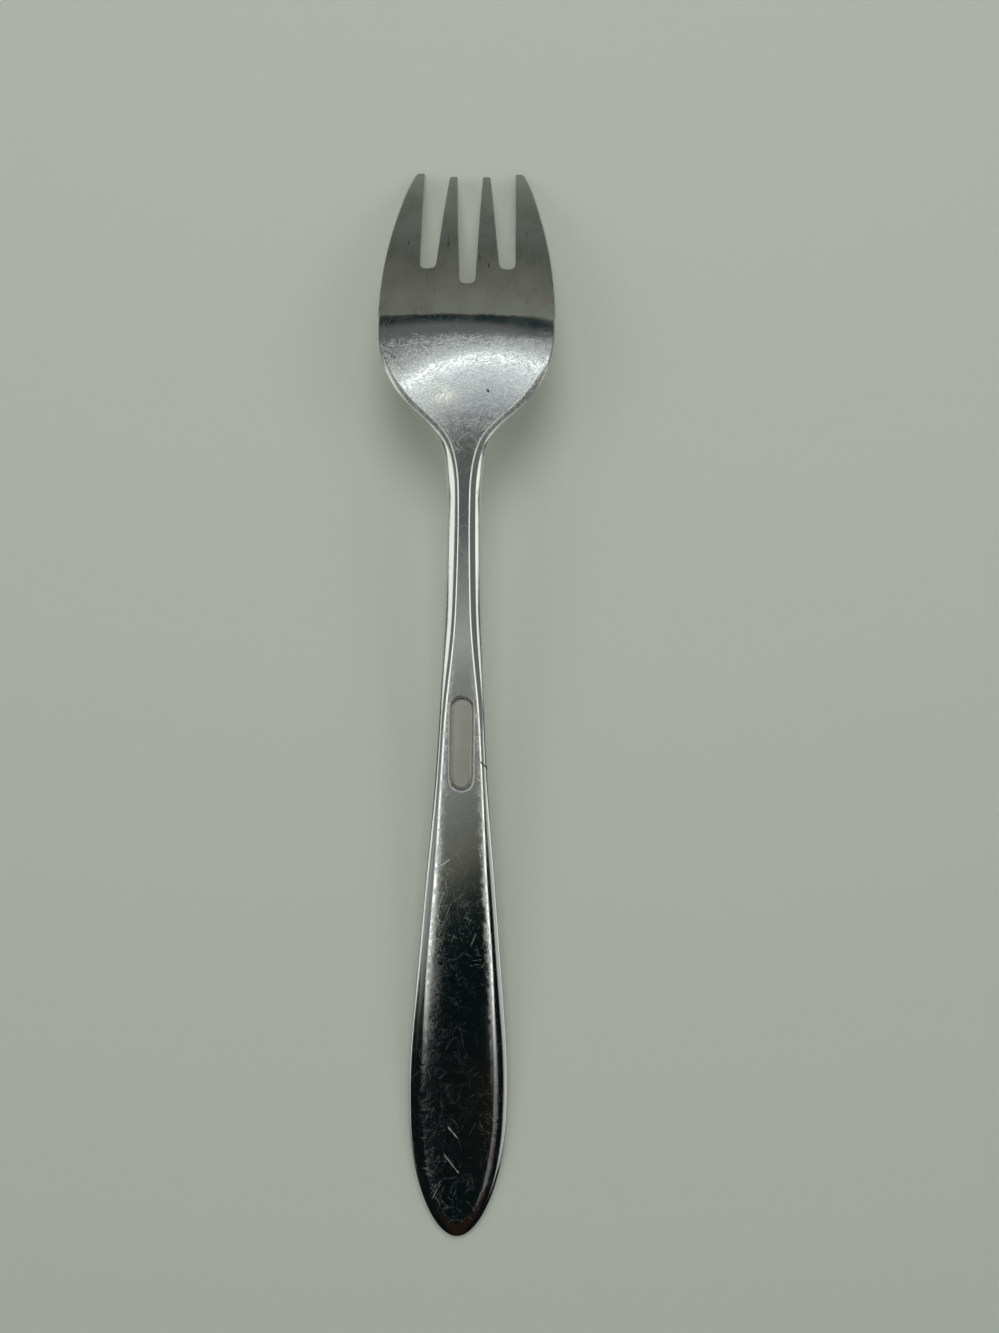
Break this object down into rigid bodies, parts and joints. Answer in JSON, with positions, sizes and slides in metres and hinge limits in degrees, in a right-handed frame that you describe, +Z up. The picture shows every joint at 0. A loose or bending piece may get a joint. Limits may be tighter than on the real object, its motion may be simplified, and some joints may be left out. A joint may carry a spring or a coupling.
{
  "type": "salad fork",
  "caption": "Stamped steel salad fork lying face down: broad bowl with tapered tines, slender ridged neck and an oval-ended handle with a bare recess.",
  "frame": {"origin": "bottom centre of the bounding box, on the table under the middle of the fork", "axes": "+Y from the end of the handle to the tines, +X to the right seen from above with the tines away, +Z up out of the back: the fork lies face down"},
  "size_m": [0.027, 0.17, 0.0151],
  "materials": {
    "polished_steel": "polished, with fine scratches from use"
  },
  "bodies": {
    "root": {"fork": "polished_steel"}
  },
  "joints": []
}
